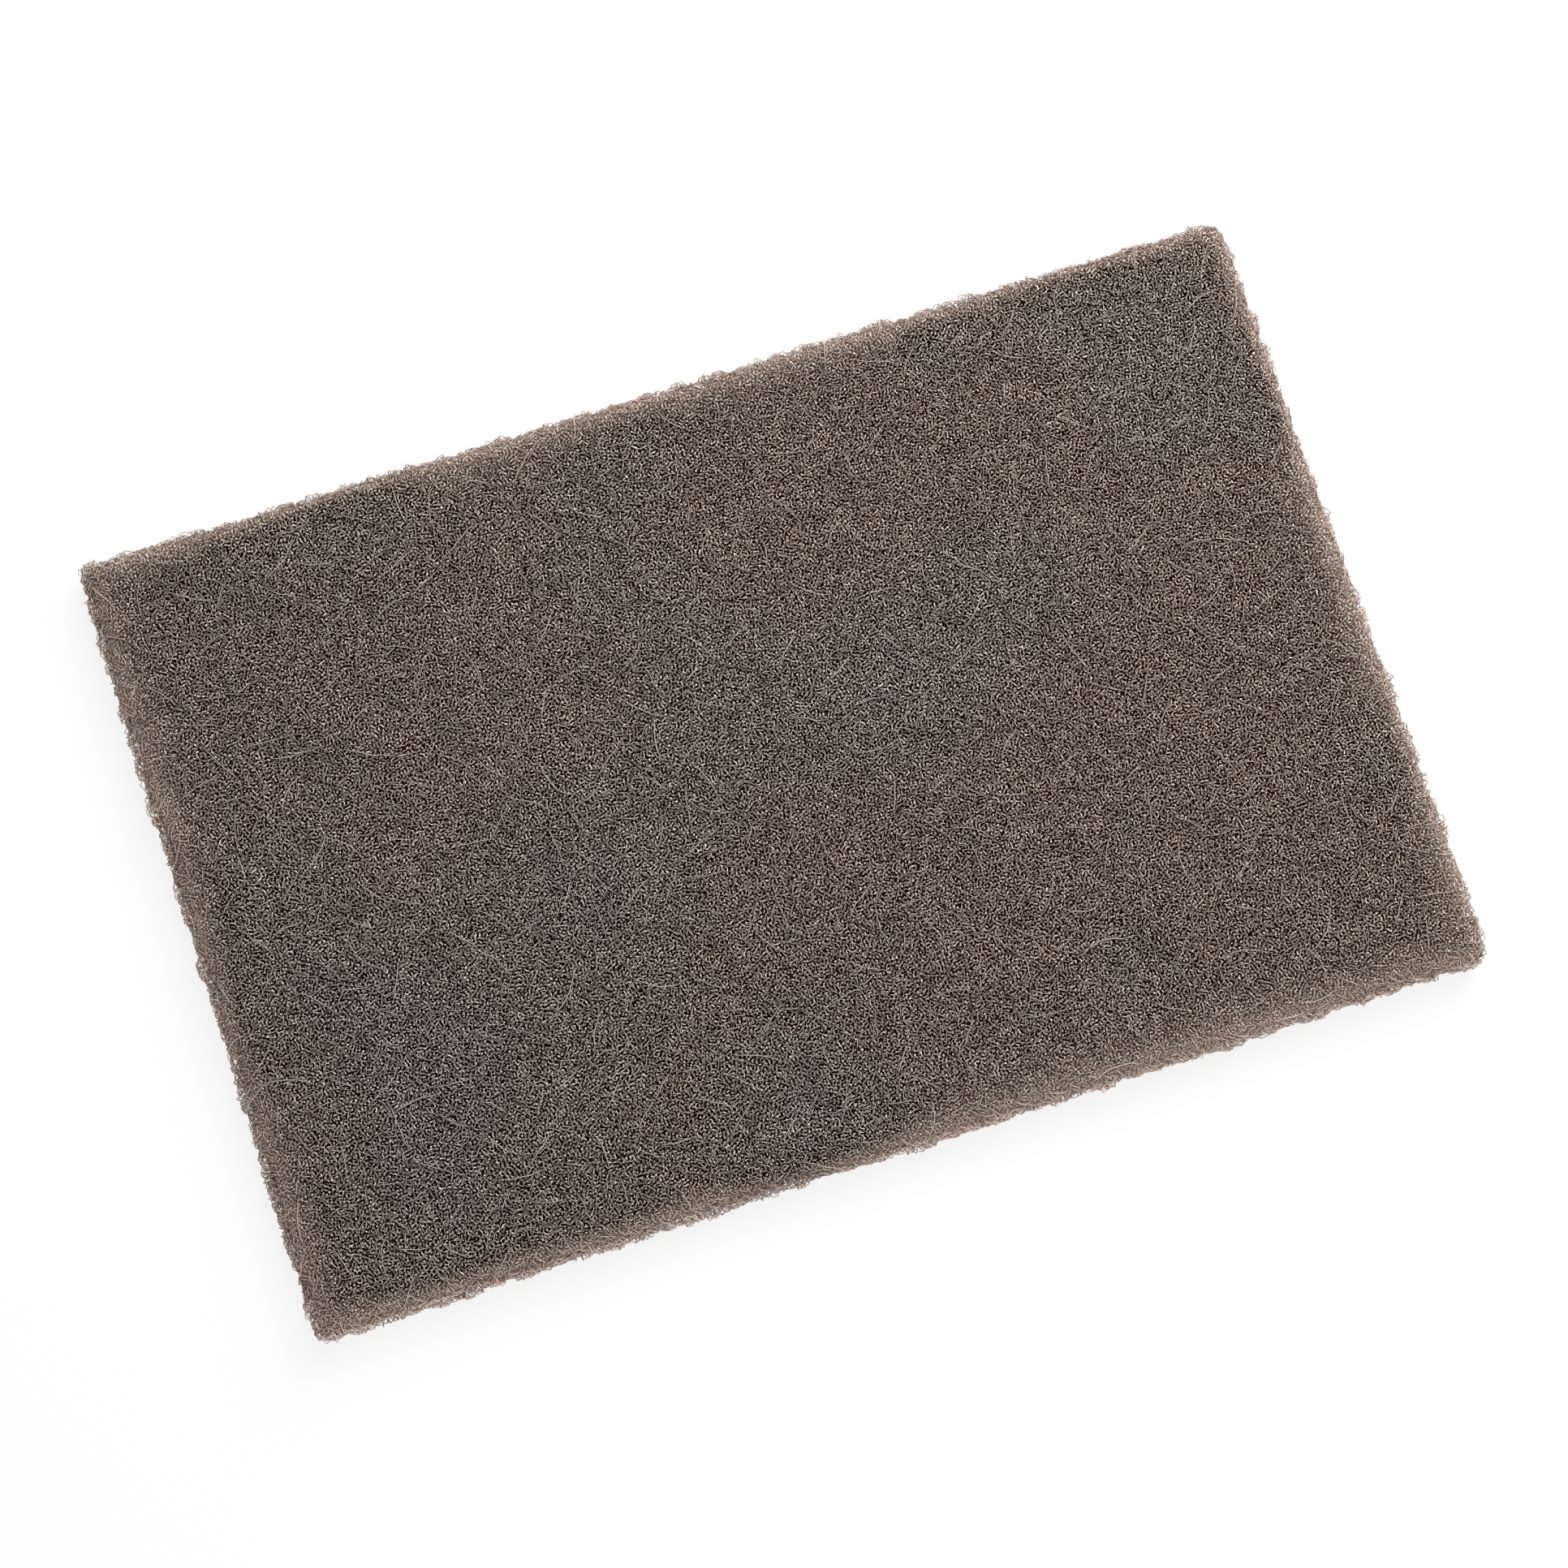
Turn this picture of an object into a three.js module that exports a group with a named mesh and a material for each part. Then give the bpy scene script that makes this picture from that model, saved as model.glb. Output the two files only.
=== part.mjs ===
// Abrasive hand pad: one lofty web of matted, resin-bonded fibre, die-cut to a rectangle.
// Millimetres, +Z up. X runs along the long side, and the origin lies under the middle of the pad.
import * as THREE from 'three';
import { ImprovedNoise } from 'three/addons/math/ImprovedNoise.js';
import { mergeVertices } from 'three/addons/utils/BufferGeometryUtils.js';

// The cut sheet
const padLength = 228.6; // 9 inches
const padWidth = 152.4; // 6 inches
const loft = 9; // from the lowest fibres to the highest

// The corners, of which the cut has crushed two rounder than the others
const backRightRadius = 1;
const backLeftRadius = 2;
const frontLeftRadius = 1;
const frontRightRadius = 3.2;

// The rim, which the cutting die pinches and leaves frayed
const shoulderWidth = 5; // band over which each face rolls to the cut
const upperRoll = 1.8; // how far the upper face rolls down in that band
const lowerRoll = 1.1; // how far the lower face rolls up
const rimRelief = 0.5; // share of the faces' relief that is left at the cut
const frayDepth = 0.9; // depth of the deepest nicks in the cut
const frayPitch = 4.5; // spacing of the nicks

// The matted faces
const layAngle = 0.6; // radians from the long side to the lay of the web
const strandPitch = 9; // spacing of the coarse strands that stand out of the mat
const strandRise = 0.7; // height of a strand over the hollows beside it
const tuftPitch = 3.1; // spacing of the finer tufts between them
const tuftRise = 1.2; // height of a tuft
const crimpPitch = 14; // length of the waves in a strand
const crimpSwing = 4; // how far a wave carries a strand to its side
const pressedDepth = 1; // hollows up to this depth are pressed level where the pad rests

// The cells that the surface is made of, crowded towards the rim
const cellsAlong = 60;
const cellsAcross = 40;
const cellsThrough = 2;
const crowding = 0.09;
const crowdingPower = 9;

// Places in the noise, so that the two faces and the cut differ
const upperPlace = 0.5;
const lowerPlace = 7.3;
const cutPlace = 3.7;
const contrast = 2.2; // brings the noise, which seldom leaves its middle, up to its full range

const noise = new ImprovedNoise();
const halfLength = padLength / 2;
const halfWidth = padWidth / 2;
const middle = new THREE.Vector2();

// The level field inside the shoulders
const field = new THREE.Box2(
  new THREE.Vector2(shoulderWidth - halfLength, shoulderWidth - halfWidth),
  new THREE.Vector2(halfLength - shoulderWidth, halfWidth - shoulderWidth),
);

// A share from -1 to 1 across the pad, moved so that the steps between shares shrink towards either end.
function crowded(share) {
  const end = Math.abs(share);
  return Math.sign(share) * (end + crowding * (end - end ** crowdingPower));
}

// Radius of the corner that a point is nearest to.
function cornerRadius(point) {
  if (point.y > 0) return point.x > 0 ? backRightRadius : backLeftRadius;
  return point.x > 0 ? frontRightRadius : frontLeftRadius;
}

// Rounds a corner: the square in each corner of the sheet is drawn in to a quarter disc.
function roundCorner(point) {
  const radius = cornerRadius(point);
  const overX = (Math.abs(point.x) - halfLength) / radius + 1;
  const overY = (Math.abs(point.y) - halfWidth) / radius + 1;
  if (overX <= 0 || overY <= 0) return;
  const kept = Math.max(overX, overY) / Math.hypot(overX, overY);
  point.x -= Math.sign(point.x) * radius * overX * (1 - kept);
  point.y -= Math.sign(point.y) * radius * overY * (1 - kept);
}

// Ridged noise from 0 to 1: nothing along lines that wander through the pad, and most between them.
function furrow(x, y, z, pitch) {
  return Math.min(1, contrast * Math.abs(noise.noise(x / pitch, y / pitch, z)));
}

// Depth below the highest fibres, which lie where a strand and a tuft cross.
function hollow(point, place) {
  const laid = new THREE.Vector2().copy(point).rotateAround(middle, layAngle);
  const swing = crimpSwing * noise.noise(laid.x / crimpPitch, laid.y / crimpPitch, place);
  const besideStrand = furrow(laid.x + swing, laid.y - swing, place, strandPitch);
  const besideTuft = furrow(laid.x, laid.y, place + 1, tuftPitch);
  return strandRise * besideStrand + tuftRise * besideTuft;
}

// Bends one vertex of a unit box into the pad.
function bend(point) {
  const through = point.z + 0.5;
  point.set(halfLength * crowded(2 * point.x), halfWidth * crowded(2 * point.y), 0);
  roundCorner(point);

  // Each face rolls to the cut in a quarter of an ellipse, and lies flatter the closer it comes.
  const outwards = field.clampPoint(point, new THREE.Vector2()).sub(point).negate();
  const out = Math.min(1, outwards.length() / shoulderWidth);
  const roll = 1 - Math.sqrt(1 - out * out);
  const relief = THREE.MathUtils.lerp(1, rimRelief, out);
  const upper = loft - relief * hollow(point, upperPlace) - upperRoll * roll;
  const lower = relief * Math.max(0, hollow(point, lowerPlace) - pressedDepth) + lowerRoll * roll;
  point.z = THREE.MathUtils.lerp(lower, upper, through);

  // Nicks draw the cut inwards.
  const nick = furrow(point.x, point.y, cutPlace + point.z / frayPitch, frayPitch);
  outwards.setLength(frayDepth * nick * out);
  point.x -= outwards.x;
  point.y -= outwards.y;
}

// Creases each cell along its proud diagonal, so that strands that cross the cells aslant stay whole.
function creaseCells(web) {
  const corner = (vertex) => new THREE.Vector3().fromBufferAttribute(web.attributes.position, vertex);
  const cut = new THREE.Plane();
  for (let first = 0; first < web.index.count; first += 6) {
    const [a, b, d, , c] = web.index.array.slice(first, first + 6);
    cut.setFromCoplanarPoints(corner(a), corner(b), corner(d));
    if (cut.distanceToPoint(corner(c)) > 0) web.index.array.set([a, b, c, a, c, d], first);
  }
}

// The web: a box of cells whose vertices are bent into place, centred over the origin and set on its plane.
function fibreWeb() {
  const box = new THREE.BoxGeometry(1, 1, 1, cellsAlong, cellsAcross, cellsThrough);
  box.deleteAttribute('normal');
  box.deleteAttribute('uv');
  const web = mergeVertices(box);
  const places = web.attributes.position;
  const point = new THREE.Vector3();
  for (let i = 0; i < places.count; i++) {
    bend(point.fromBufferAttribute(places, i));
    places.setXYZ(i, point.x, point.y, point.z);
  }
  creaseCells(web);
  web.computeBoundingBox();
  const centre = web.boundingBox.getCenter(new THREE.Vector3());
  web.translate(-centre.x, -centre.y, -web.boundingBox.min.z);
  web.computeVertexNormals();
  return web;
}

const fibre = new THREE.MeshStandardMaterial({ color: 0x645952, roughness: 0.95, metalness: 0 });
const pad = new THREE.Mesh(fibreWeb(), fibre);
pad.name = 'hand_pad';

const handPad = new THREE.Group();
handPad.add(pad);

export default handPad;
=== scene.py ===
import math

import bmesh
import bpy
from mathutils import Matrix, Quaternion, Vector


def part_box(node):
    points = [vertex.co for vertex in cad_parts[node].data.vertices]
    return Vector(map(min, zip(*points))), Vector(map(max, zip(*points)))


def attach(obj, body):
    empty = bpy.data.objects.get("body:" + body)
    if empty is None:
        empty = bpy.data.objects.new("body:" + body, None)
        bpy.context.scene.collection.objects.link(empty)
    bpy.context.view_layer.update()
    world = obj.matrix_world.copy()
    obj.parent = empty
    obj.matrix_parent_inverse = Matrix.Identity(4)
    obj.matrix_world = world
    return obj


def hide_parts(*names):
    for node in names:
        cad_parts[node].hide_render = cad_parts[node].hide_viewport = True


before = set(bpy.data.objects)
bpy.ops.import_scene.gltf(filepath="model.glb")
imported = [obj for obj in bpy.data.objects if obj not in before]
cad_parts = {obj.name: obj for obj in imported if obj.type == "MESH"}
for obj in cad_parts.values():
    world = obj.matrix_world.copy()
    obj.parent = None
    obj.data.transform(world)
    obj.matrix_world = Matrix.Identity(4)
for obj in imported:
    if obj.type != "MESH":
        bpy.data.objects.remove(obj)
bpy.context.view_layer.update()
padLow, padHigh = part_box("hand_pad")
mm = 0.001
print("frame loaded, pad", [round(side / mm, 2) for side in padHigh - padLow], "mm")


# Node trees, written as sums

def openSocket(sockets, key):  # by its name, or by its place among those in use
    usable = [socket for socket in sockets if socket.enabled]
    if isinstance(key, int):
        return usable[key]
    return next(socket for socket in usable if socket.name == key)


class Wire:  # one socket, with the operators that join it to others
    def __init__(self, sheet, socket):
        self.sheet = sheet
        self.socket = socket

    def out(self, key):  # another output of the same node
        return Wire(self.sheet, openSocket(self.socket.node.outputs, key))

    def __add__(self, other):
        return self.sheet.sums("ADD", self, other)

    def __radd__(self, other):
        return self.sheet.sums("ADD", other, self)

    def __sub__(self, other):
        return self.sheet.sums("SUBTRACT", self, other)

    def __rsub__(self, other):
        return self.sheet.sums("SUBTRACT", other, self)

    def __mul__(self, other):
        return self.sheet.sums("MULTIPLY", self, other)

    def __rmul__(self, other):
        return self.sheet.sums("MULTIPLY", self, other)

    def __truediv__(self, other):
        return self.sheet.sums("DIVIDE", self, other)

    def __rtruediv__(self, other):
        return self.sheet.sums("DIVIDE", other, self)


class Sheet:  # a node tree, and what adds nodes to it
    def __init__(self, tree):
        self.tree = tree

    def node(self, kind, settings=None, sockets=None):
        made = self.tree.nodes.new(kind)
        for name, value in (settings or {}).items():
            if name == "stops":
                self.setStops(made.color_ramp.elements, value)
            elif name == "kept":
                for label, form in value.items():
                    made.capture_items.new(form, label)
            else:
                setattr(made, name, value)
        for key, value in (sockets or {}).items():
            socket = openSocket(made.inputs, key)
            if isinstance(value, Wire):
                self.tree.links.new(value.socket, socket)
            else:
                socket.default_value = value
        return Wire(self, openSocket(made.outputs, 0)) if made.outputs else None

    def setStops(self, elements, stops):
        while len(elements) < len(stops):
            elements.new(1)
        for element, (place, colour) in zip(elements, stops):
            element.position = place
            element.color = (*colour, 1)

    def maths(self, operation, *values):
        return self.node("ShaderNodeMath", {"operation": operation}, dict(enumerate(values)))

    def vectors(self, operation, *values):
        return self.node("ShaderNodeVectorMath", {"operation": operation}, dict(enumerate(values)))

    def sums(self, operation, first, second):
        isVector = [isinstance(v, Wire) and v.socket.type == "VECTOR" for v in (first, second)]
        if not any(isVector):
            return self.maths(operation, first, second)
        if operation == "MULTIPLY" and not all(isVector):
            return self.vectors("SCALE", *((first, second) if isVector[0] else (second, first)))
        return self.vectors(operation, first, second)

    def clamp(self, value, low=0, high=1):
        return self.node("ShaderNodeClamp", None, {"Value": value, "Min": low, "Max": high})

    def smooth(self, value, low, high):  # 0 below low, 1 above high, soft between
        return self.node("ShaderNodeMapRange", {"interpolation_type": "SMOOTHSTEP"}, {
            "Value": value, "From Min": low, "From Max": high})

    def blend(self, share, first, second):  # two colours
        return self.node("ShaderNodeMix", {"data_type": "RGBA"}, {
            "Factor": share, "A": first, "B": second})

    def noise(self, place, pitch, detail):
        return self.node("ShaderNodeTexNoise", None, {
            "Vector": place, "Scale": 1 / pitch, "Detail": detail})

    def parts(self, vector):  # X, Y and Z are its outputs
        return self.node("ShaderNodeSeparateXYZ", None, {"Vector": vector})

    def point(self, x, y, z=0):
        return self.node("ShaderNodeCombineXYZ", None, {"X": x, "Y": y, "Z": z})


def emptySheet(owner):  # of a material or a world
    owner.use_nodes = True
    owner.node_tree.nodes.clear()
    return Sheet(owner.node_tree)


def geometryTree(name, sizes):  # with an input for each size, and one for the material
    tree = bpy.data.node_groups.new(name, "GeometryNodeTree")
    tree.interface.new_socket("Geometry", in_out="INPUT", socket_type="NodeSocketGeometry")
    for label, size in sizes.items():
        kind = "NodeSocketInt" if isinstance(size, int) else "NodeSocketFloat"
        tree.interface.new_socket(label, in_out="INPUT", socket_type=kind)
    tree.interface.new_socket("Material", in_out="INPUT", socket_type="NodeSocketMaterial")
    tree.interface.new_socket("Geometry", in_out="OUTPUT", socket_type="NodeSocketGeometry")
    sheet = Sheet(tree)
    return sheet, sheet.node("NodeGroupInput")


def closeTree(sheet, geometry, material):
    whole = sheet.node("GeometryNodeRealizeInstances", None, {"Geometry": geometry})
    dressed = sheet.node("GeometryNodeSetMaterial", None, {"Geometry": whole, "Material": material})
    sheet.node("NodeGroupOutput", None, {"Geometry": dressed})
    return sheet.tree


def grow(name, form, tree, values):  # runs a tree over a form's mesh, and keeps a plain mesh
    piece = bpy.data.objects.new(name, form.data)
    bpy.context.collection.objects.link(piece)
    modifier = piece.modifiers.new("nodes", "NODES")
    modifier.node_group = tree
    for item in tree.interface.items_tree:
        if item.in_out == "INPUT" and item.name in values:
            modifier[item.identifier] = values[item.name]
    keepResult(piece)
    print(name, sum(len(face.vertices) - 2 for face in piece.data.polygons), "triangles")
    return piece


def keepResult(piece):
    graph = bpy.context.evaluated_depsgraph_get()
    mesh = bpy.data.meshes.new_from_object(piece.evaluated_get(graph), depsgraph=graph)
    mesh.name = piece.name
    piece.modifiers.clear()
    piece.data = mesh


# Colours: tones in three casts, and where each cast lies

casts = {  # what each cast adds to a grey, 0 to 255
    "cool": (11, 0, -11),
    "warm": (17, -3, -17),
    "rim": (21, -4, -17),
}
lie = {
    "fade": 2.2 * mm,  # depth inside the outline over which the paler rim is lost: partly paler cut fibre ends, partly painted light that stands for light wrapping round and showing through the edge
    "halfLength": (padHigh.x - padLow.x) / 2,
    "halfWidth": (padHigh.y - padLow.y) / 2,
    "patchPitch": 60 * mm,
    "patchDetail": 1,
    "coolest": 0.24,  # the noise where a patch is coolest
    "warmest": 0.56,  # and where it is warmest
    "patchShare": 0.3,  # part of the map's height that patches take up, the rest being the rim's
}


def linear(red, green, blue):  # a colour as a screen shows it, 0 to 255
    shares = [min(max(value, 0), 255) / 255 for value in (red, green, blue)]
    return [s / 12.92 if s <= 0.04045 else ((s + 0.055) / 1.055) ** 2.4 for s in shares]


def ramp(sheet, tone, greys, cast):
    stops = [(place, linear(*(grey + more for more in casts[cast]))) for place, grey in greys]
    return sheet.node("ShaderNodeValToRGB", {"stops": stops}, {"Fac": tone})


def lieOf(sheet, place):  # 1 at the outline, where the rim is painted paler, partly for paler cut fibre ends and partly as painted light for light that wraps round the edge, and from cool to warm patches in the low end
    spot = sheet.parts(sheet.vectors("ABSOLUTE", place))
    inside = sheet.maths("MINIMUM", lie["halfLength"] - spot.out("X"), lie["halfWidth"] - spot.out("Y"))
    near = sheet.maths("EXPONENT", sheet.maths("MAXIMUM", inside, 0) / -lie["fade"])
    patch = sheet.noise(place, lie["patchPitch"], lie["patchDetail"])
    patch = sheet.smooth(patch, lie["coolest"], lie["warmest"]) * lie["patchShare"]
    return near + patch * (1 - near)


def colourOf(sheet, tone, where, finish):
    warm = sheet.clamp(where / lie["patchShare"])
    # the rim's paler, pinker colour: partly paler cut fibre ends, partly painted light for light that
    # wraps round and shows through the edge
    paleRimAndWrapLight = sheet.clamp((where - lie["patchShare"]) / (1 - lie["patchShare"]))
    cool = ramp(sheet, tone, finish["field"], "cool")
    field = sheet.blend(warm, cool, ramp(sheet, tone, finish["field"], "warm"))
    return sheet.blend(paleRimAndWrapLight, field, ramp(sheet, tone, finish["rim"], "rim"))


# The fibres' finish: u of the map is a fibre's tone, with painted shade on its sides and sunk ends, v
# is where it lies

fibreFinish = {
    "map": "OFBake",
    "field": [(0, 0), (0.4, 8), (0.65, 104), (0.85, 220), (1, 255)],  # tones, and the grey of each
    # rim greys: paler cut fibre ends, with painted light where light wraps round and shows through the
    # edge
    "rim": [(0, 145), (0.5, 214), (1, 246)],
    "roughness": 0.72,
    "specular": 0.18,
}


def fibreMaterial():
    material = bpy.data.materials.new("coated_fibre")
    sheet = emptySheet(material)
    place = sheet.parts(sheet.node("ShaderNodeUVMap", {"uv_map": fibreFinish["map"]}))
    shader = sheet.node("ShaderNodeBsdfPrincipled", None, {
        "Base Color": colourOf(sheet, place.out("X"), place.out("Y"), fibreFinish),
        "Roughness": fibreFinish["roughness"],
        "Specular IOR Level": fibreFinish["specular"],
    })
    sheet.node("ShaderNodeOutputMaterial", None, {"Surface": shader})
    return material


# The web under the fibres: what is seen in the gaps, drawn as deeper strands over painted darkness,
# painted shade that stands for the shadow between fibres

webFinish = {
    "strandPitch": 0.7 * mm,
    "families": [(0.3, 1), (1.9, 0.92), (1.1, 0.84), (2.7, 0.76)],  # lay in radians, and how light, the lower families painted darker as painted shade
    "bendPitch": 2 * mm,
    "bendDetail": 1,
    "bend": 1.8 * mm,  # how far a strand strays from its lay
    "width": 0.48,  # share of the pitch that a strand takes up
    "slant": 0.5,  # how far height moves the strands, so that upright faces have them too
    "bandPitch": 0.66 * mm,  # spacing of the bands in which strands rise and sink
    "waves": 2.2,  # bands side by side before their lay changes
    "trough": 0.43,  # the noise where strands are sunk
    "crest": 0.57,  # and where they are risen
    "sunkLight": 0.36,  # painted shade: share of its light that a sunk strand keeps
    # near black at the low end: painted shade in the gaps between strands
    "field": [(0, 0), (0.3, 3), (0.55, 70), (0.8, 204), (1, 255)],
    # rim colours: paler cut fibre ends, with painted light where light wraps round and shows through
    # the edge
    "rim": [(0, 135), (1, 224)],
    "roughness": 0.85,
    "specular": 0.0,
    "bump": 0.5,
    "bumpDepth": 0.3 * mm,
}


def strandToneAndShade(sheet, place):  # families of strands that cross, and rise and sink in bands, with painted shade on the lower families and the sunk bands
    spot = sheet.parts(place)
    slant = spot.out("Z") * webFinish["slant"]
    x = spot.out("X") + slant
    y = spot.out("Y") + slant
    tone = 0
    for lay, light in webFinish["families"]:
        bend = sheet.noise(sheet.point(x, y, lay), webFinish["bendPitch"], webFinish["bendDetail"])
        across = x * math.cos(lay) + y * math.sin(lay) + bend * webFinish["bend"]
        crest = sheet.maths("PINGPONG", across / webFinish["strandPitch"], 0.5) * 2  # 1 along a strand
        strand = sheet.smooth(crest, 1 - webFinish["width"], 1) * light
        tone = sheet.maths("MAXIMUM", tone, strand)
    bands = sheet.node("ShaderNodeTexGabor", {"gabor_type": "2D"}, {
        "Vector": sheet.point(x, y), "Scale": 1 / (webFinish["bandPitch"] * webFinish["waves"]),
        "Frequency": webFinish["waves"], "Anisotropy": 0})
    bands = sheet.smooth(bands, webFinish["trough"], webFinish["crest"])
    return tone * (webFinish["sunkLight"] + bands * (1 - webFinish["sunkLight"]))


def webMaterial():
    material = bpy.data.materials.new("web_depths")
    sheet = emptySheet(material)
    place = sheet.node("ShaderNodeTexCoord").out("Object")
    tone = strandToneAndShade(sheet, place)
    bump = sheet.node("ShaderNodeBump", None, {
        "Height": tone, "Strength": webFinish["bump"], "Distance": webFinish["bumpDepth"]})
    shader = sheet.node("ShaderNodeBsdfPrincipled", None, {
        "Base Color": colourOf(sheet, tone, lieOf(sheet, place), webFinish),
        "Roughness": webFinish["roughness"],
        "Specular IOR Level": webFinish["specular"],
        "Normal": bump,
    })
    sheet.node("ShaderNodeOutputMaterial", None, {"Surface": shader})
    return material


# The form that fibres are laid over: the solid, evened into small faces and drawn in

formSizes = {
    "weld": 0.01 * mm,
    "cell": 1.25 * mm,  # side of the small faces
    "rounds": 20,  # of smoothing, which moves them up and down only
    "sink": 0.4 * mm,  # leaves room for the fibres
}


def webForm():
    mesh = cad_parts["hand_pad"].data.copy()
    mesh.materials.clear()
    cells = bmesh.new()
    cells.from_mesh(mesh)
    bmesh.ops.remove_doubles(cells, verts=cells.verts, dist=formSizes["weld"])
    cells.to_mesh(mesh)
    cells.free()
    form = bpy.data.objects.new("web_form", mesh)
    bpy.context.collection.objects.link(form)
    even = form.modifiers.new("even", "REMESH")
    even.mode = "VOXEL"
    even.voxel_size = formSizes["cell"]
    soft = form.modifiers.new("soft", "SMOOTH")
    soft.iterations = formSizes["rounds"]
    soft.use_x = False
    soft.use_y = False
    inward = form.modifiers.new("inward", "DISPLACE")
    inward.mid_level = 0
    inward.strength = -formSizes["sink"]
    keepResult(form)
    print("form", len(form.data.polygons), "faces")
    return form


# The matted web itself, drawn in from the cut, where only fibres are left

webSizes = {
    "Cut Inset": 0.5 * mm,
    "Cut Facing": 0.2,  # a face whose normal is no more upright than this belongs to the cut
    "Face Facing": 0.8,  # and one whose normal is at least as upright as this doesn't
}


def webTree():
    sheet, given = geometryTree("matted_web", webSizes)
    normal = sheet.node("GeometryNodeInputNormal")
    facing = sheet.parts(sheet.vectors("ABSOLUTE", normal)).out("Z")
    cut = 1 - sheet.smooth(facing, given.out("Cut Facing"), given.out("Face Facing"))
    moved = sheet.node("GeometryNodeSetPosition", None, {
        "Geometry": given.out("Geometry"), "Offset": normal * (cut * given.out("Cut Inset") * -1)})
    soft = sheet.node("GeometryNodeSetShadeSmooth", None, {"Geometry": moved})
    return closeTree(sheet, soft, given.out("Material"))


# Fibres laid over the form: bent and crimped, proud in the middle, with ends that dive into the web

fibreSizes = {
    "Spacing": 0.78 * mm,  # least distance between roots
    "Crowding": 2.4,  # tries at a root in each square of that side
    "Seed": 11,
    "Shares": 4,  # pieces that the roots are shared out among
    "Share": 0,  # which of them this one is
    "Points": 4,  # along a fibre
    "Lowest Facing": 0.25,  # roots are on faces that look up more than this, where 1 is straight up
    "Highest Facing": 2.0,  # and less than this
    "Length": 3 * mm,
    "Length Spread": 0.9 * mm,
    "Curl": 320.0,  # most that a fibre turns, in radians for each metre
    "Crimp": 0.0,  # how far it strays from its arc
    "Crimp Pitch": 1.6 * mm,
    "Thickness": 0.2 * mm,
    "Proud": 0.25 * mm,  # how far its middle stands off the form
    "Proud Spread": 0.15 * mm,
    "Sunk Ends": 0.3 * mm,  # how far its ends dive into the form
    "Loose End": 0.0,  # most that one end comes out again
    "Tuft": 0.0,  # most that neighbours stand out together
    "Tuft Pitch": 4 * mm,
    "Lowest": 0.1 * mm,  # height that the line of a fibre keeps above the floor
    "Tone": 0.85,
    "Tone Spread": 0.05,
    "Sunk Tone": 0.4,  # painted shade: tone that is lost at the ends, where they dive into the web
    "Side Tone": 0.6,  # painted shade: tone that is lost along the sides, below the lit crown
}

# What each piece of fibre changes: where it lies, how many fibres, how proud and how light, the deeper
# pieces being painted a little darker as painted shade
fibreLayers = {
    "deep_fibres": {"Share": 0, "Proud": 0.08 * mm, "Proud Spread": 0.06 * mm, "Tone": 0.83},
    "lower_fibres": {"Share": 1, "Proud": 0.2 * mm, "Proud Spread": 0.08 * mm, "Tone": 0.85},
    "upper_fibres": {"Share": 2, "Proud": 0.33 * mm, "Proud Spread": 0.1 * mm, "Tone": 0.87},
    "crest_fibres": {"Share": 3, "Proud": 0.45 * mm, "Proud Spread": 0.12 * mm, "Tone": 0.91},
    "cut_fibres": {
        "Seed": 41, "Shares": 1, "Spacing": 0.6 * mm, "Lowest Facing": -0.6, "Highest Facing": 0.55,
        "Length": 2.4 * mm, "Crimp": 0.8 * mm, "Proud": 0.15 * mm, "Proud Spread": 0.25 * mm,
        "Loose End": 1.0 * mm, "Tuft": 0.9 * mm, "Tone": 0.75,
    },
    "long_fibres": {
        "Seed": 67, "Shares": 1, "Spacing": 5.5 * mm, "Points": 9, "Length": 8 * mm,
        "Length Spread": 5 * mm, "Curl": 120.0, "Crimp": 1.6 * mm, "Crimp Pitch": 4.5 * mm,
        "Proud": 0.5 * mm, "Proud Spread": 0.1 * mm, "Tone": 0.95,
    },
    "under_fibres": {
        "Seed": 53, "Shares": 1, "Spacing": 2 * mm, "Lowest Facing": -2.0, "Highest Facing": -0.25,
    },
}
fibreShape = {
    "sides": 3,
    "roundness": 0.58,  # radius of the ring of sides, as a share of the thickness
    "ringTurn": -math.pi / 2,  # stands the ring on one side, with its first corner on top
    "taper": 0.4,  # share of the thickness lost at the ends
    "crown": 0.1,  # share of the girth that is lit from above, the rest being its sides, which are painted darker as painted shade
    "skirt": 0.03,  # share of the map's height that a fibre's girth takes up
    "margin": 0.005,  # how far the map stays inside its square
    "phases": 1000,  # how far apart the fibres' crimps lie in their noise
    "crimpDetail": 1,
    "straight": (0.5, 0.5, 0.5),  # the noise where a fibre isn't moved by its crimp
    "tuftDetail": 1,
    "tuftFrom": 0.42,  # the noise where a tuft begins to stand out
    "tuftBy": 0.68,  # and where it stands out most
}


def randomShare(sheet, given, salt, low=-1, high=1):
    return sheet.node("FunctionNodeRandomValue", {"data_type": "FLOAT"}, {
        "Min": low, "Max": high, "Seed": given.out("Seed") + salt})


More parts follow.
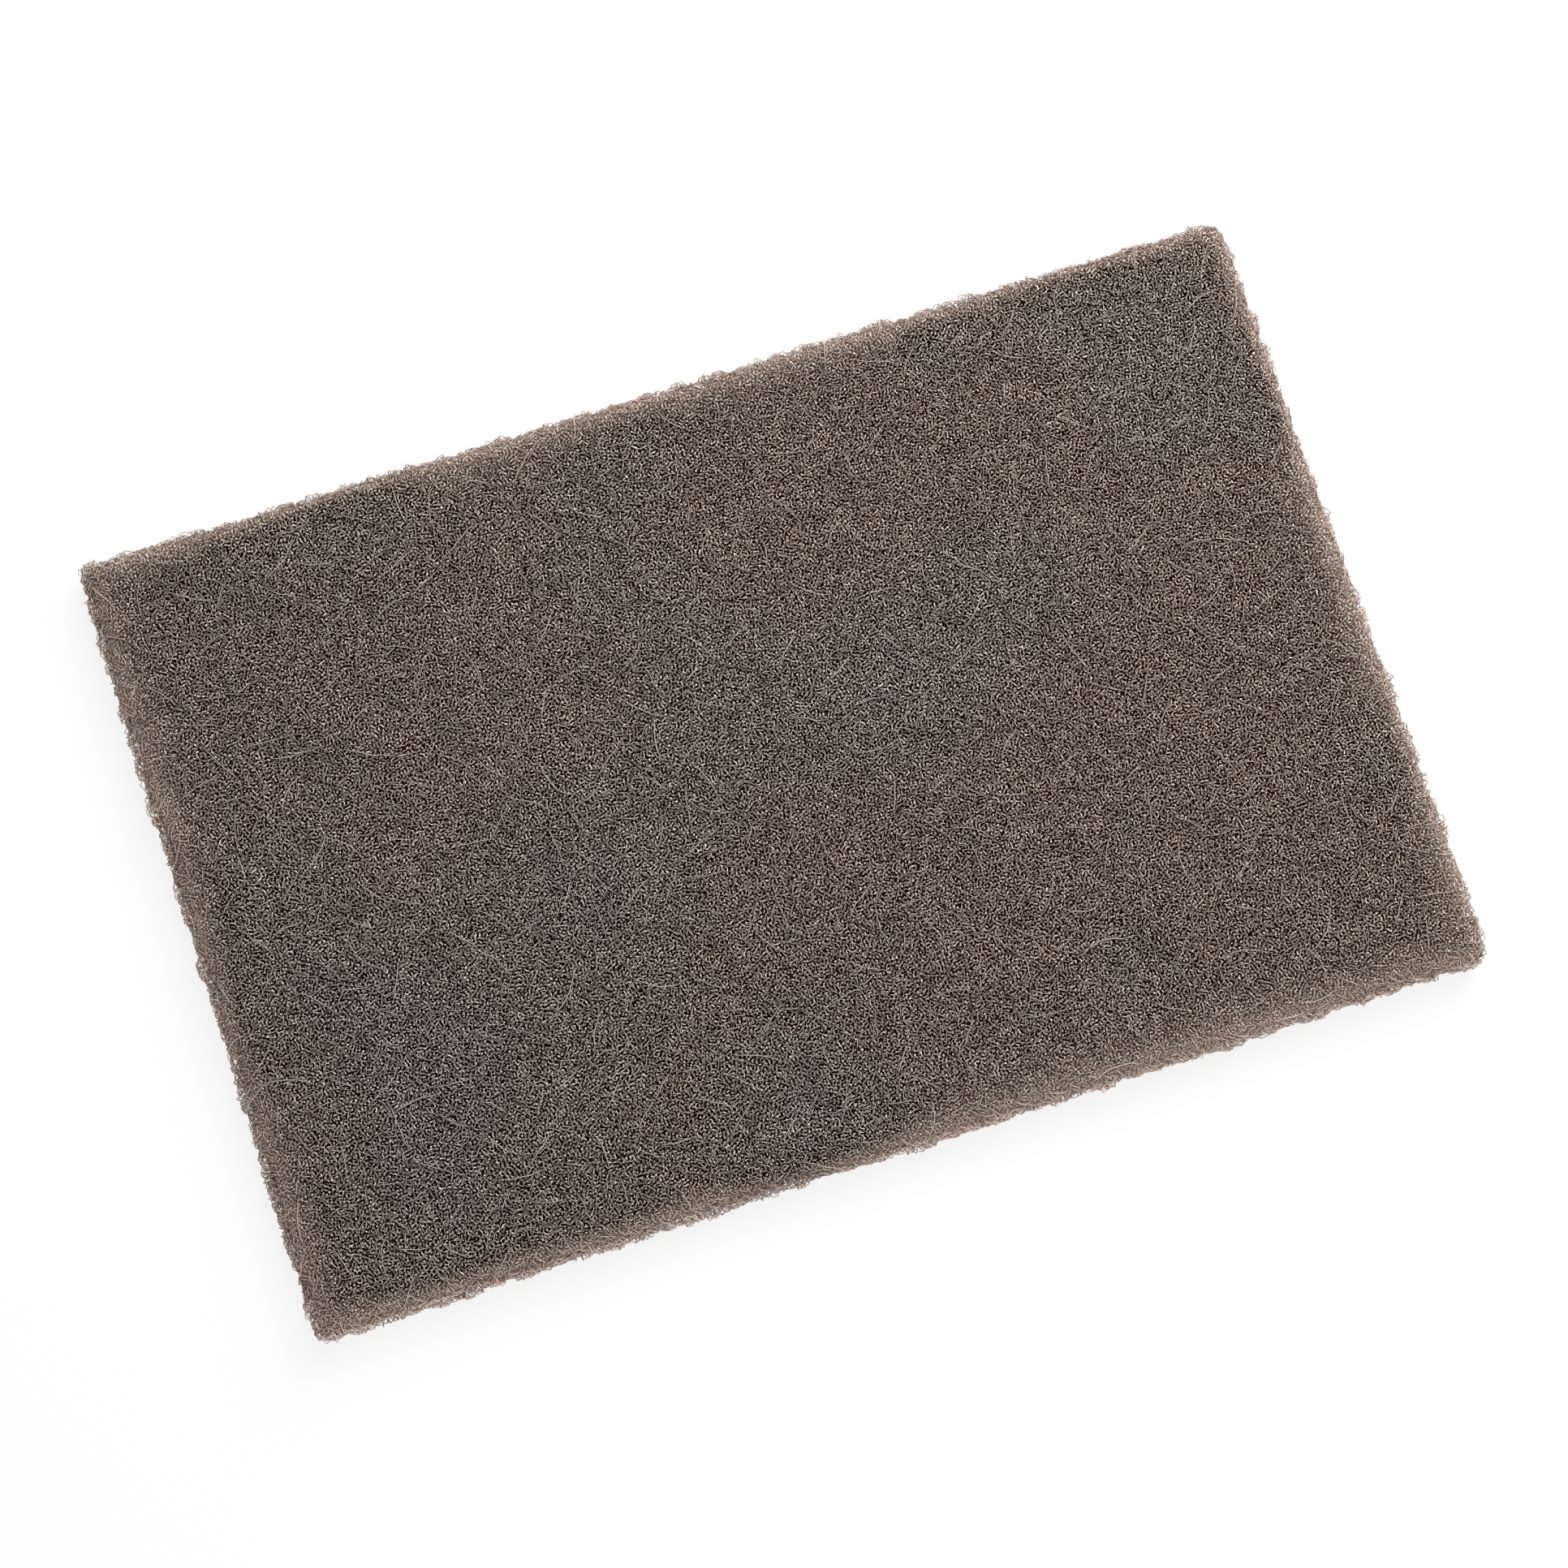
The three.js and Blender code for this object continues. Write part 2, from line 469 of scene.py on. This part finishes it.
# Roots, scattered evenly over the faces that look the wanted way, each with its fibre's own numbers
def scatterRoots(sheet, given, form, normal):
    facing = sheet.parts(normal).out("Z")
    above = sheet.maths("GREATER_THAN", facing, given.out("Lowest Facing"))
    below = sheet.maths("LESS_THAN", facing, given.out("Highest Facing"))
    roots = sheet.node("GeometryNodeDistributePointsOnFaces", {"distribute_method": "POISSON"}, {
        "Mesh": form, "Selection": above * below, "Distance Min": given.out("Spacing"),
        "Density Max": given.out("Crowding") / (given.out("Spacing") * given.out("Spacing")),
        "Seed": given.out("Seed")})
    heading = sheet.node("FunctionNodeRandomValue", {"data_type": "FLOAT_VECTOR"}, {
        "Min": (-1, -1, -1), "Max": (1, 1, 1), "Seed": given.out("Seed")})
    along = sheet.vectors("NORMALIZE", sheet.vectors("CROSS_PRODUCT", roots.out("Normal"), heading))
    place = sheet.node("GeometryNodeInputPosition")
    tuft = sheet.noise(place, given.out("Tuft Pitch"), fibreShape["tuftDetail"])
    tuft = sheet.smooth(tuft, fibreShape["tuftFrom"], fibreShape["tuftBy"]) * given.out("Tuft")
    rise = given.out("Proud") + given.out("Proud Spread") * randomShare(sheet, given, 3)
    kept = {"root": "VECTOR", "along": "VECTOR", "across": "VECTOR", "fibre": "INT", "length": "FLOAT",
            "curl": "FLOAT", "rise": "FLOAT", "tint": "FLOAT", "phase": "FLOAT", "loose": "FLOAT"}
    return sheet.node("GeometryNodeCaptureAttribute", {"kept": kept}, {
        "Geometry": roots,
        "root": place,
        "along": along,
        "across": sheet.vectors("CROSS_PRODUCT", roots.out("Normal"), along),
        "fibre": sheet.node("GeometryNodeInputIndex"),
        "length": given.out("Length") + given.out("Length Spread") * randomShare(sheet, given, 1),
        "curl": given.out("Curl") * randomShare(sheet, given, 2) + 1,
        "rise": rise + tuft,
        "tint": randomShare(sheet, given, 4),
        "phase": randomShare(sheet, given, 5, 0, fibreShape["phases"]),
        "loose": given.out("Loose End") * randomShare(sheet, given, 6, 0, 1),
    })


def ownRoots(sheet, given, roots):  # the roots that fall to this piece, as the pieces take turns
    turn = sheet.maths("FLOORED_MODULO", roots.out("fibre"), given.out("Shares"))
    apart = sheet.maths("ABSOLUTE", turn - given.out("Share"))
    return sheet.node("GeometryNodeDeleteGeometry", {"domain": "POINT"}, {
        "Geometry": roots, "Selection": sheet.maths("GREATER_THAN", apart, 0.5)})


# The line of each fibre, and how far each of its points is sunk, 0 to 1
def layLines(sheet, given, form, normal, roots):
    points = sheet.node("GeometryNodeDuplicateElements", {"domain": "POINT"}, {
        "Geometry": ownRoots(sheet, given, roots), "Amount": given.out("Points")})
    step = points.out("Duplicate Index")
    end = step * 2 / (given.out("Points") - 1) - 1  # -1 to 1 along the fibre

    # An arc in the plane of the root, with its crimp
    reach = roots.out("length") / 2 * end
    turn = roots.out("curl") * reach
    forward = sheet.maths("SINE", turn) / roots.out("curl")
    aside = (1 - sheet.maths("COSINE", turn)) / roots.out("curl")
    crimp = sheet.point(reach / given.out("Crimp Pitch"), roots.out("phase"))
    crimp = sheet.noise(crimp, 1, fibreShape["crimpDetail"]).out("Color")
    crimp = sheet.vectors("SUBTRACT", crimp, fibreShape["straight"]) * given.out("Crimp")
    crimp = sheet.parts(crimp)
    spot = roots.out("root") + roots.out("along") * (forward + crimp.out("X"))
    spot = spot + roots.out("across") * (aside + crimp.out("Y"))

    # Each point is drawn to the form and lifted off it
    touch = sheet.node("GeometryNodeProximity", None, {"Geometry": form, "Sample Position": spot})
    lean = sheet.node("GeometryNodeSampleNearestSurface", {"data_type": "FLOAT_VECTOR"}, {
        "Mesh": form, "Value": normal, "Sample Position": spot})
    sunk = end * end * end * end
    lift = roots.out("rise") * (1 - sunk) - given.out("Sunk Ends") * sunk
    lift = lift + crimp.out("Z") + roots.out("loose") * sheet.clamp(end)
    spot = sheet.parts(touch + sheet.vectors("NORMALIZE", lean) * lift)
    height = sheet.maths("MAXIMUM", spot.out("Z"), given.out("Lowest"))
    spot = sheet.point(spot.out("X"), spot.out("Y"), height)
    points = sheet.node("GeometryNodeSetPosition", None, {"Geometry": points, "Position": spot})
    points = sheet.node("GeometryNodeCaptureAttribute", {"kept": {"sunk": "FLOAT"}}, {
        "Geometry": points, "sunk": sunk})
    lines = sheet.node("GeometryNodePointsToCurves", None, {
        "Points": points, "Curve Group ID": roots.out("fibre"), "Weight": step})
    lines = sheet.node("GeometryNodeSetCurveNormal", {"mode": "Z_UP"}, {"Curve": lines})
    return lines, points.out("sunk")


def fibreTree():
    sheet, given = geometryTree("laid_fibres", fibreSizes)
    form = given.out("Geometry")
    normal = sheet.node("GeometryNodeInputNormal")
    roots = scatterRoots(sheet, given, form, normal)
    lines, sunk = layLines(sheet, given, form, normal, roots)

    # Tubes, thinner at their ends
    ring = sheet.node("GeometryNodeCurvePrimitiveCircle", None, {
        "Resolution": fibreShape["sides"], "Radius": given.out("Thickness") * fibreShape["roundness"]})
    ring = sheet.node("GeometryNodeTransform", None, {
        "Geometry": ring, "Rotation": (0, 0, fibreShape["ringTurn"])})
    ring = sheet.node("GeometryNodeCaptureAttribute", {"kept": {"round": "FLOAT"}}, {
        "Geometry": ring, "round": sheet.node("GeometryNodeSplineParameter")})
    tubes = sheet.node("GeometryNodeCurveToMesh", None, {
        "Curve": lines, "Profile Curve": ring, "Scale": 1 - sunk * fibreShape["taper"],
        "Fill Caps": True})

    # The map that the finish reads, with painted shade on each fibre's sides and sunk ends
    place = sheet.node("GeometryNodeInputPosition")
    tone = given.out("Tone") + given.out("Tone Spread") * roots.out("tint")
    # the ends that dive into the web are painted darker: painted shade
    tone = tone - given.out("Sunk Tone") * sunk
    # the sides below the crown are painted darker: painted shade that stands for occlusion between
    # fibres
    shadedSide = sheet.maths("GREATER_THAN", ring.out("round"), fibreShape["crown"])
    tone = tone - given.out("Side Tone") * shadedSide
    edge = lieOf(sheet, place) * (1 - fibreShape["skirt"]) + ring.out("round") * fibreShape["skirt"]
    low, high = fibreShape["margin"], 1 - fibreShape["margin"]
    uv = sheet.point(sheet.clamp(tone, low, high), sheet.clamp(edge, low, high))
    tubes = sheet.node("GeometryNodeStoreNamedAttribute", {"data_type": "FLOAT2", "domain": "CORNER"}, {
        "Geometry": tubes, "Name": fibreFinish["map"], "Value": uv})
    tubes = sheet.node("GeometryNodeSetShadeSmooth", None, {"Geometry": tubes})
    return closeTree(sheet, tubes, given.out("Material"))


def dress(piece):
    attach(piece, "root")
    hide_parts("hand_pad")


def buildPad():
    form = webForm()
    web = grow("matted_web", form, webTree(), webSizes | {"Material": webMaterial()})
    dress(web)
    tree = fibreTree()
    fibre = fibreMaterial()
    for name, changes in fibreLayers.items():
        dress(grow(name, form, tree, fibreSizes | changes | {"Material": fibre}))
    bpy.data.objects.remove(form)


# Floor and light, in metres and watts

studio = {
    "floorSide": 6.0,
    "floorColour": linear(250, 250, 250),
    "floorWhite": 0.85,  # share of the floor that is seen as plain white beside the pad
    "whiteFrom": 0.2,  # distance from the pad's middle where that share begins to rise
    "whiteBy": 0.6,  # and where the floor is all white
    "worldLevel": 0.28,
    "lamps": {  # place, side of the lamp, power
        "overhead": ((0.45, 0.45, 0.8), 0.8, 9.6),
        "side": ((0.65, 0.6, 0.45), 0.6, 4.6),
        "front": ((-0.1, -0.85, 0.17), 0.3, 2.6),
    },
}


def seenDirectly(sheet):  # 1 for what the camera sees, also in gloss and through glass
    path = sheet.node("ShaderNodeLightPath")
    seen = path.out("Is Camera Ray") + path.out("Is Glossy Ray") + path.out("Is Transmission Ray")
    return sheet.clamp(seen)


def buildFloor():
    bpy.ops.mesh.primitive_plane_add(size=studio["floorSide"])
    floor = bpy.context.object
    floor.name = "floor"
    material = bpy.data.materials.new("floor_white")
    sheet = emptySheet(material)
    matt = sheet.node("ShaderNodeBsdfDiffuse", None, {"Color": (*studio["floorColour"], 1)})
    glow = sheet.node("ShaderNodeEmission", None, {"Color": (1, 1, 1, 1), "Strength": 1})
    distance = sheet.vectors("LENGTH", sheet.node("ShaderNodeTexCoord").out("Object"))
    far = sheet.smooth(distance, studio["whiteFrom"], studio["whiteBy"])
    white = studio["floorWhite"] + far * (1 - studio["floorWhite"])
    mix = sheet.node("ShaderNodeMixShader", None, {0: seenDirectly(sheet) * white, 1: matt, 2: glow})
    sheet.node("ShaderNodeOutputMaterial", None, {"Surface": mix})
    floor.data.materials.append(material)


def buildSky():
    world = bpy.data.worlds.new("studio")
    sheet = emptySheet(world)
    level = studio["worldLevel"] + seenDirectly(sheet) * (1 - studio["worldLevel"])
    sky = sheet.node("ShaderNodeBackground", None, {"Color": (1, 1, 1, 1), "Strength": level})
    sheet.node("ShaderNodeOutputWorld", None, {"Surface": sky})
    bpy.context.scene.world = world


def hangLamps():
    for name, (place, side, watts) in studio["lamps"].items():
        lamp = bpy.data.lights.new(name, "AREA")
        lamp.size = side
        lamp.energy = watts
        holder = bpy.data.objects.new(name, lamp)
        holder.location = place
        holder.rotation_euler = (-Vector(place)).to_track_quat("-Z", "Y").to_euler()
        bpy.context.collection.objects.link(holder)


def buildStudio():
    buildFloor()
    buildSky()
    hangLamps()
    bpy.context.scene.view_settings.view_transform = "Standard"
    print("studio lit by", len(studio["lamps"]), "lamps")


# The camera stands where the picture's vanishing points put it

camera = {
    "eye": Vector((-93.8, -159.6, 797.0)) * mm,
    "aim": Vector((-0.96, -3.59, 4.0)) * mm,
    "roll": 12.58,  # degrees
    "lens": 99.84,  # millimetres, as the sensor is
    "sensor": 36,
    "nearest": 10 * mm,
}


def buildCamera():
    lens = bpy.data.cameras.new("camera")
    lens.lens = camera["lens"]
    lens.sensor_width = camera["sensor"]
    lens.clip_start = camera["nearest"]
    holder = bpy.data.objects.new("camera", lens)
    holder.location = camera["eye"]
    look = (camera["aim"] - camera["eye"]).to_track_quat("-Z", "Y")
    holder.rotation_mode = "QUATERNION"
    holder.rotation_quaternion = look @ Quaternion((0, 0, 1), math.radians(camera["roll"]))
    bpy.context.collection.objects.link(holder)
    bpy.context.scene.camera = holder
    print("camera set")


buildCamera()
buildPad()
buildStudio()
print("pad dressed")
